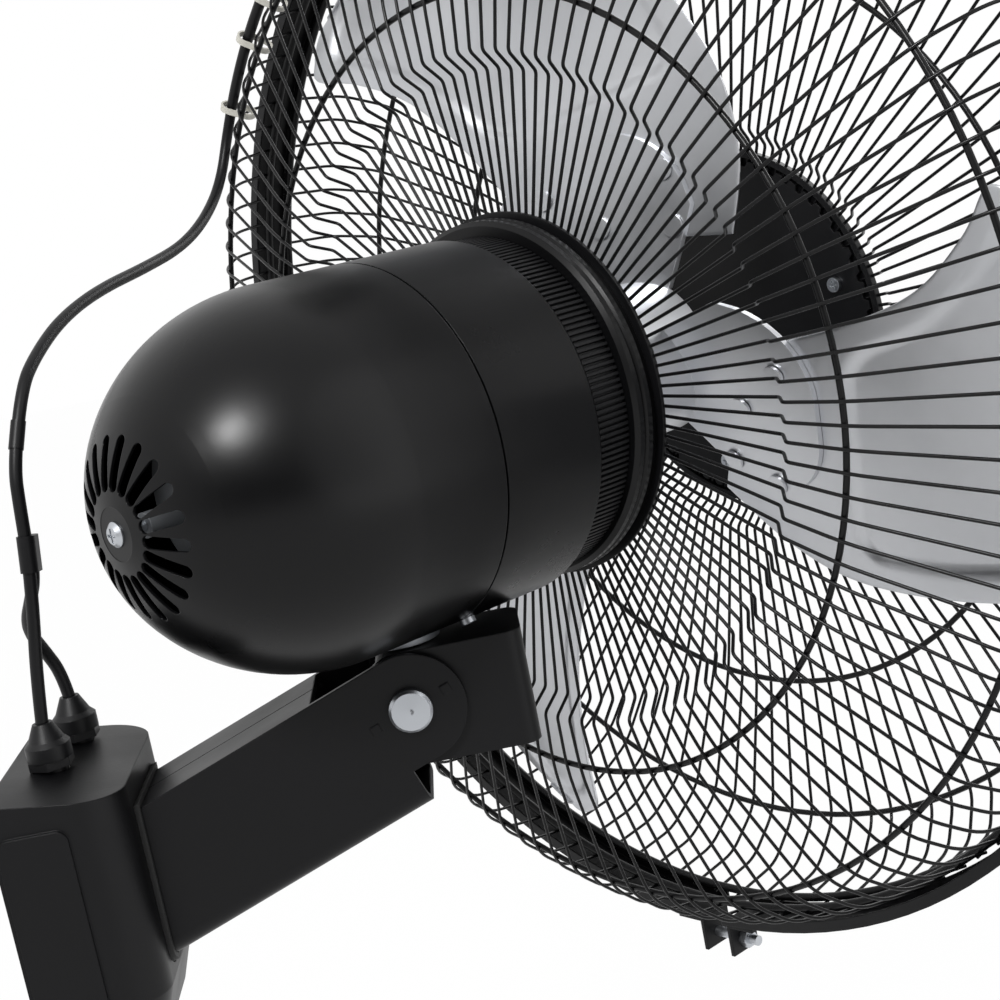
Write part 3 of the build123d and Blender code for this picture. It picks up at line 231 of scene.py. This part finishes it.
def coil_point(turns, stretch=1.0):
    """A point of the coil, wound inward in one layer and outward in the layer behind."""
    half_layer = coil_pitch / 2
    if turns < coil_turns:
        radius, z = coil_inner + coil_pitch * (coil_turns - turns), half_layer
    elif turns < coil_turns + 0.5:
        radius, z = coil_inner, half_layer * math.cos(2 * math.pi * (turns - coil_turns))
    else:
        radius, z = coil_inner + coil_pitch * (turns - coil_turns - 0.5), -half_layer
    angle = math.radians(coil_start_angle + 360 * turns)
    reach = radius * stretch
    return coil_middle + Vector((reach * math.cos(angle), reach * math.sin(angle), z))


coil_heading = math.radians(coil_start_angle + 90)
coil_toward = Vector((math.cos(coil_heading), math.sin(coil_heading), 0))
coil_entry = head_place @ coil_point(0)
straight_before_coil = 0.024
shoulder_r, shoulder_z = 0.2576, 0.0238
run_points = [
    sleeve_middle,
    (0.0162, -0.0382, 0.212),
    (0.034, -0.043, 0.223),
    (0.062, -0.051, 0.2345),
    (0.098, -0.063, 0.2425),
    (0.142, -0.080, 0.2475),
    (0.180, -0.0935, 0.253),
    (0.210, -0.104, 0.2635),
    (0.232, -0.1135, 0.280),
    round_cage(shoulder_r, 34, shoulder_z),
    round_cage(shoulder_r, 40, shoulder_z),
    round_cage(shoulder_r, 46, shoulder_z),
    round_cage(shoulder_r, 52, shoulder_z),
    round_cage(shoulder_r, 58, 0.0208),
    head_place @ Vector((0.1145, 0.2338, 0.0085)),
    head_place @ (coil_point(0) - coil_toward * straight_before_coil),
    coil_entry,
]
run, run_line = lead_tube("lead_run_flex", run_points)
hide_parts("lead_run")
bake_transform(run)

# Put-away lead: the spare length is wound into a neat round coil in two layers and tied flat on
# the cage, with its plug beside it.
knots_per_turn = 16
knot_stretch = 2 / (1 + math.cos(2 * math.pi / knots_per_turn))
turns_wound = 2 * coil_turns + 0.25
last_knot = int(turns_wound * knots_per_turn)
small_turn = 0.004
straight_to_plug = 0.014
coil_steps = 4
coil_points = [coil_entry]
for knot in range(1, last_knot + 1):
    coil_points.append(head_place @ coil_point((knot - 0.5) / knots_per_turn, knot_stretch))
coil_end = coil_point(last_knot / knots_per_turn)
coil_points.append(head_place @ coil_end)
coil_leaving = (coil_end - coil_point(last_knot / knots_per_turn - small_turn)).normalized()
coil_points.append(head_place @ (coil_end + coil_leaving * straight_to_plug))
coil, coil_line = lead_tube("lead_coil_flex", coil_points, coil_steps)
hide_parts("lead_coil")
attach(coil, "head")

# Far lead: a short branch of the same lead, from the second gland across to the near one, which
# it joins in a moulded sleeve.
splice_middle = Vector((-0.001, -0.0289, 0.147))
splice_along = Vector((2.25, -2.0, 22.0)).normalized()
splice_side = Vector((22.0, 0.0, -2.25)).normalized()
beside_near_lead = 0.0061
straight_into_splice = 0.0105
branch_end = splice_middle + splice_side * beside_near_lead
far_gland = Vector((0.033, -0.023, 0.07698))
branch_points = [
    far_gland,
    (0.0326, -0.0222, 0.088),
    (0.029, -0.0185, 0.0995),
    (0.0215, -0.0162, 0.110),
    (0.0135, -0.0188, 0.1185),
    (0.0075, -0.0235, 0.1265),
    branch_end - splice_along * straight_into_splice,
    branch_end,
]
branch, branch_line = lead_tube("branch_lead_flex", branch_points)
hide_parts("branch_lead")
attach(branch, "base")
dress(lead_pvc, "lead_sleeve", "lead_splice", "plug_body")

# Ties and plug pins: cable ties moulded in natural nylon, milky white and half matt, and pins
# turned from brass, with a soft sheen round them.
nylon = speckled(
    "moulded_natural_nylon", "#b9b7ad", "#cfcdc4", (0.42, 0.55), 2.0, 0.02, 0.2, IOR=1.53
)
dress(nylon, "lead_ties")
brass = speckled(
    "turned_brass", "#a98b52", "#c3a469", (0.24, 0.36), 1.2, 0.01, 0.2, Metallic=1.0
)
dress(brass, "plug_pins")

# Wall plate, the arm's feet and the fasteners: pressed and turned steel, zinc plated. The plating
# is a bright, slightly clouded metal.
zinc = speckled(
    "bright_zinc_plate", "#a3a7ad", "#c9ccd0", (0.22, 0.4), 0.8, 0.015, 0.4, Metallic=1.0
)
dress(zinc, "wall_plate", "arm_feet", "tilt_bolt", "tilt_nut", "hub_nut")
dress(zinc, "housing_screws", "flange_screws", "disc_screws", "clamp_screw")

# Junction box, arm and bracket: folded steel sheet, powder coated in semi-gloss black. The coat
# flows round the folds, so no edge is sharp, and it keeps a very fine orange peel.
coat = dict(IOR=1.5, Specular_IOR_Level=0.2)
powder_coat = speckled(
    "semi_gloss_black_powder_coat", "#070708", "#0d0d0f", (0.36, 0.48), 1.5, 0.035, 0.9, **coat
)
dress(powder_coat, "box_cover", "arm", "tilt_bracket", "band_lugs", "rim_band", "cage_flange")

# Glands, their nuts and other moulded parts: black nylon with a dull, lightly sparked skin. The
# collar where the arm enters the box is moulded EPDM rubber, softer and quite matt.
dull = dict(IOR=1.53, Specular_IOR_Level=0.25)
moulded_black = speckled(
    "moulded_black_nylon", "#0b0b0c", "#131315", (0.4, 0.52), 0.9, 0.03, 0.35, **dull
)
dress(moulded_black, "gland_bodies", "gland_nuts", "rib_ring", "friction_washers")
rubber = speckled(
    "moulded_epdm_rubber", "#101010", "#191919", (0.62, 0.75), 1.2, 0.04, 0.3, IOR=1.52
)
dress(rubber, "arm_collar")

# Terminal block and capacitor, inside the box: cases moulded in grey ABS, even and half matt.
# They are pushed and screwed to the wall plate.
grey_case = speckled(
    "moulded_grey_abs", "#b6b6b1", "#c8c8c3", (0.4, 0.5), 1.5, 0.03, 0.5, IOR=1.54
)
dress(grey_case, "terminal_block", "capacitor")

# Swing pin, shaft and bearings: ground and turned bare steel, lightly oiled, which leaves a grey
# metal with a close, even gloss.
ground_steel = speckled(
    "ground_oiled_steel", "#82858a", "#a1a4a8", (0.26, 0.36), 0.6, 0.008, 0.2, Metallic=1.0
)
dress(ground_steel, "tilt_spacer", "swing_pin", "swing_retainer", "motor_shaft", "bearings")

# Motor and saddle: die cast aluminium bells, dull and finely grained, a laminated core under
# brown varnish, and windings of enamelled copper wire with a warm sheen.
cast_alloy = speckled(
    "die_cast_aluminium", "#85888c", "#a3a6aa", (0.46, 0.62), 0.9, 0.05, 0.6, Metallic=1.0
)
dress(cast_alloy, "front_bell", "rear_bell", "motor_saddle", "gear_case")
core_steel = speckled(
    "varnished_laminated_steel", "#2b2a2b", "#3b3938", (0.45, 0.6), 0.7, 0.04, 0.2, Metallic=0.8
)
dress(core_steel, "stator_core", "rotor_core")
copper = speckled(
    "enamelled_copper_wire", "#7e3f1c", "#a35a2c", (0.3, 0.42), 1.0, 0.12, 0.2, Metallic=1.0
)
dress(copper, "stator_windings")

# Crank wheel: the worm wheel that swings the head, hobbed from brass, with its spindle and pin.
# It is the same turned brass as the plug's pins.
dress(brass, "crank_wheel")

# Housing: a spun and drawn steel shell in two halves, stove enamelled black. Broad soft
# highlights run over it, with a faint waviness left by the spinning.
stoved = dict(IOR=1.5, Specular_IOR_Level=0.2)
enamel = speckled(
    "black_stove_enamel", "#050506", "#0a0a0b", (0.26, 0.34), 2.2, 0.01, 0.5, **stoved
)
dress(enamel, "rear_housing", "front_housing", "rolled_ring")

# Cage: welded steel wires, dipped in a gloss black plastic coating that is thin and smooth, with
# a blank disc and its clamp plate pressed from coated sheet in front.
dipped_wire = speckled(
    "gloss_black_dipped_wire", "#070708", "#0d0d0e", (0.24, 0.36), 1.2, 0.02, 0.0, **coat
)
dress(dipped_wire, "rear_spokes_upper", "rear_spokes_lower", "rear_rings")
dress(dipped_wire, "front_spokes_upper", "front_spokes_lower", "front_rings")
dress(powder_coat, "front_disc", "clamp_disc")

# Spider and rivets: three arms blanked and pressed from rolled aluminium sheet, and soft
# aluminium rivets. Rolling leaves a bright metal with faint clouds, never quite even.
sheet_aluminium = speckled(
    "rolled_aluminium_sheet", "#c2c4c8", "#dddee1", (0.28, 0.4), 6.0, 0.03, 0.4, Metallic=1.0
)
dress(sheet_aluminium, "hub_spider", "rivets")

# Blades: three rolled aluminium sheets, blanked with round tip corners, rolled to a camber and
# stiffened by a pressed panel with a stepped border, then riveted to the spider.
blade_phase = 78.0
blade_height = 0.070
blade_thick = 0.0015
blade_span = 0.180
sheet_start, sheet_end, sheet_half = 0.024, 0.262, 0.130
sheet_slope = (0.45, 0.08)
sheet_camber = (0.005, 0.012)
panel_step = 0.0022
panel_ramp = 0.0055
panel_margin = 0.012
panel_start = 0.1165
panel_corner = 0.018
cells_along, cells_across = 84, 64
worn_edge = 0.0004
crease_degrees = 35


def polar(radius_mm, degrees):
    """A point of the blade's plan, from its distance and bearing from the shaft."""
    angle = math.radians(degrees)
    return Vector((radius_mm / 1000 * math.cos(angle), radius_mm / 1000 * math.sin(angle)))


def smooth_edge(points, share):
    """A point of the smooth line through the given ones, by share of its length."""
    lengths = [(b - a).length for a, b in zip(points, points[1:])]
    left = share * sum(lengths)
    place = 0
    while place < len(lengths) - 1 and left > lengths[place]:
        left -= lengths[place]
        place += 1
    t = min(left / lengths[place], 1.0)
    a = points[max(place - 1, 0)]
    b, c = points[place], points[place + 1]
    d = points[min(place + 2, len(points) - 1)]
    square, cube = 2 * a - 5 * b + 4 * c - d, 3 * b - a - 3 * c + d
    return 0.5 * (2 * b + (c - a) * t + square * t**2 + cube * t**3)


def arc_through(first, middle, last, steps):
    """Points after the first, along the arc through three."""
    p, q = middle - first, last - first
    twice = 2 * (p.x * q.y - p.y * q.x)
    pp, qq = p.length_squared, q.length_squared
    centre = first + Vector((q.y * pp - p.y * qq, p.x * qq - q.x * pp)) / twice
    a, b = first - centre, last - centre
    turn = math.atan2(a.x * b.y - a.y * b.x, a.dot(b))
    return [centre + Matrix.Rotation(turn * i / steps, 2) @ a for i in range(1, steps + 1)]


leading_edge = [
    polar(70, -20),
    polar(130, -22.9),
    polar(171, -25.6),
    polar(204, -30.2),
    polar(224, -33.6),
]
leading_edge += arc_through(leading_edge[-1], polar(234.5, -31.6), polar(240.5, -26), 4)
trailing_edge = [
    polar(70, 56),
    polar(101, 46.2),
    polar(132, 36.6),
    polar(162, 26.5),
    polar(202, 16),
    polar(235, 8.5),
]
trailing_edge += arc_through(trailing_edge[-1], polar(242.5, 6.6), polar(246, 3), 4)
tip_edge = [leading_edge[-1]]
tip_edge += arc_through(leading_edge[-1], polar(250, -10), trailing_edge[-1], 10)


def blade_spot(u, v):
    """Plan of the blade: u from root to tip, v from the leading to the trailing edge."""
    root = leading_edge[0].lerp(trailing_edge[0], v)
    tip = smooth_edge(tip_edge, v)
    lead, trail = smooth_edge(leading_edge, u), smooth_edge(trailing_edge, u)
    corners = root.lerp(leading_edge[-1].lerp(trailing_edge[-1], v), u)
    return lead.lerp(trail, v) + root.lerp(tip, u) - corners


def sheet_height(x, y):
    """Height of the rolled sheet: steep and flat at the root, shallow and cambered at the tip."""
    share = (x - sheet_start) / (sheet_end - sheet_start)
    slope = sheet_slope[0] + share * (sheet_slope[1] - sheet_slope[0])
    camber = sheet_camber[0] + share * (sheet_camber[1] - sheet_camber[0])
    return slope * y + camber * (1 - (y / sheet_half) ** 2)


def panel_depth(u, v, spot):
    """Height of the pressed panel: full inside its round-cornered border, nothing outside it."""
    width = (smooth_edge(leading_edge, u) - smooth_edge(trailing_edge, u)).length
    from_root = spot.x - panel_start + panel_margin
    edges = (v * width, (1 - v) * width, (1 - u) * blade_span, from_root)
    near, next_near = (panel_corner - max(edge - panel_margin, 0) for edge in sorted(edges)[:2])
    inside = panel_corner - (math.hypot(near, next_near) if next_near > 0 else near)
    depth = min(max(inside / panel_ramp, 0), 1)
    return panel_step * depth * depth * (3 - 2 * depth)


def blade_piece(name, turn):
    """One blade, pressed from a flat grid, given its thickness and turned to its place."""
    bpy.ops.object.select_all(action="DESELECT")
    bpy.ops.mesh.primitive_grid_add(
        x_subdivisions=cells_along, y_subdivisions=cells_across, size=1
    )
    piece = bpy.context.object
    piece.name = name
    for vertex in piece.data.vertices:
        u, v = vertex.co.x + 0.5, vertex.co.y + 0.5
        spot = blade_spot(u, v)
        height = sheet_height(spot.x, spot.y) + panel_depth(u, v, spot)
        vertex.co = (spot.x, spot.y, height + blade_height)
    wall = piece.modifiers.new("thickness", "SOLIDIFY")
    wall.thickness = blade_thick
    wall.offset = 1
    soft = piece.modifiers.new("worn_edge", "BEVEL")
    soft.width = worn_edge
    soft.segments = 2
    for modifier in list(piece.modifiers):
        bpy.ops.object.modifier_apply(modifier=modifier.name)
    piece.data.transform(head_place @ Matrix.Rotation(math.radians(turn), 4, "Z"))
    bpy.ops.object.shade_smooth_by_angle(angle=math.radians(crease_degrees))
    piece.data.materials.append(sheet_aluminium)
    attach(piece, "rotor")
    return piece


for number in range(3):
    piece = blade_piece(f"pressed_blade_{number + 1}", blade_phase + 120 * number)
    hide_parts(f"blade_{number + 1}")

# Floor: a plain white studio floor. Rays that look at it, straight or in a gloss, find it white,
# and a small matt share keeps the object's shadow.
floor_side = 12
floor_height = -0.34
floor_white_share = 0.985
bpy.ops.mesh.primitive_plane_add(size=floor_side, location=(0, 0, floor_height))
floor = bpy.context.object
floor.name = "studio_floor"
floor_paint = bpy.data.materials.new("white_studio_floor")
floor_paint.use_nodes = True
floor_paint.node_tree.nodes.clear()


def looking_rays(shading):
    """Light Path's node, and 1 for a ray that looks: from the camera, or by gloss or glass."""
    rays = add_node(shading, "ShaderNodeLightPath")
    mirrored = add_node(
        shading,
        "ShaderNodeMath",
        {0: rays.outputs["Is Glossy Ray"], 1: rays.outputs["Is Transmission Ray"]},
        operation="MAXIMUM",
    )
    looking = add_node(
        shading,
        "ShaderNodeMath",
        {0: rays.outputs["Is Camera Ray"], 1: mirrored.outputs[0]},
        operation="MAXIMUM",
    )
    return rays, looking


rays, looking = looking_rays(floor_paint)
white_share = add_node(
    floor_paint, "ShaderNodeMath", {0: looking.outputs[0]}, operation="MULTIPLY"
)
white_share.inputs[1].default_value = floor_white_share
matt = add_node(floor_paint, "ShaderNodeBsdfDiffuse", Color=srgb("#f4f4f4"))
glow = add_node(floor_paint, "ShaderNodeEmission", Color=srgb("#ffffff"), Strength=1.0)
both = add_node(
    floor_paint,
    "ShaderNodeMixShader",
    {0: white_share.outputs[0], 1: matt.outputs[0], 2: glow.outputs[0]},
)
add_node(floor_paint, "ShaderNodeOutputMaterial", {"Surface": both.outputs[0]})
floor.data.materials.append(floor_paint)

# Room: white wherever the camera looks, and a plain grey level of light on the object. What a
# gloss mirrors is white too, falling to a dim room toward -X, along the wall.
dim_room = 0.1
dim_from, white_from = -0.95, -0.45
room_light = (0.45, 0.45, 0.46, 1.0)
world = bpy.data.worlds.new("studio")
bpy.context.scene.world = world
world.use_nodes = True
world.node_tree.nodes.clear()
rays, looking = looking_rays(world)
toward = add_node(world, "ShaderNodeTexCoord").outputs["Generated"]
along_wall = add_node(world, "ShaderNodeSeparateXYZ", {"Vector": toward}).outputs["X"]
open_side = add_node(
    world,
    "ShaderNodeMapRange",
    {"Value": along_wall},
    From_Min=dim_from,
    From_Max=white_from,
    To_Min=dim_room,
    To_Max=1.0,
)
backdrop_level = add_node(
    world,
    "ShaderNodeMath",
    {0: rays.outputs["Is Camera Ray"], 1: open_side.outputs[0]},
    operation="MAXIMUM",
)
backdrop = add_node(
    world, "ShaderNodeCombineColor", {i: backdrop_level.outputs[0] for i in range(3)}
)
air = add_node(
    world,
    "ShaderNodeMix",
    {"Factor": looking.outputs[0], mix_second: backdrop.outputs[0]},
    data_type="RGBA",
)
air.inputs[mix_first].default_value = room_light
sky = add_node(world, "ShaderNodeBackground", {"Color": air.outputs[mix_result]}, Strength=1.0)
add_node(world, "ShaderNodeOutputWorld", {"Surface": sky.outputs[0]})


# Lamps: three round soft lamps at a plain level. The key is small, for the one soft highlight on
# the housing, and the other two fill.
def soft_lamp(name, place, target, size, watts):
    """A round lamp that faces a point."""
    lamp = bpy.data.objects.new(name, bpy.data.lights.new(name, "AREA"))
    lamp.data.shape = "DISK"
    lamp.data.size = size
    lamp.data.energy = watts
    bpy.context.scene.collection.objects.link(lamp)
    lamp.location = place
    facing = Vector(target) - Vector(place)
    lamp.rotation_euler = facing.to_track_quat("-Z", "Y").to_euler()


soft_lamp("lamp_key", (-1.05, 0.22, 1.16), (0.0, -0.2, 0.15), 0.36, 22)
soft_lamp("lamp_fill", (-0.7, -1.3, 0.5), (0.0, -0.25, 0.15), 2.2, 9)
soft_lamp("lamp_front", (1.2, -1.2, 0.9), (0.1, -0.3, 0.15), 0.9, 9)
bpy.context.scene.view_settings.view_transform = "Standard"

bpy.context.view_layer.update()
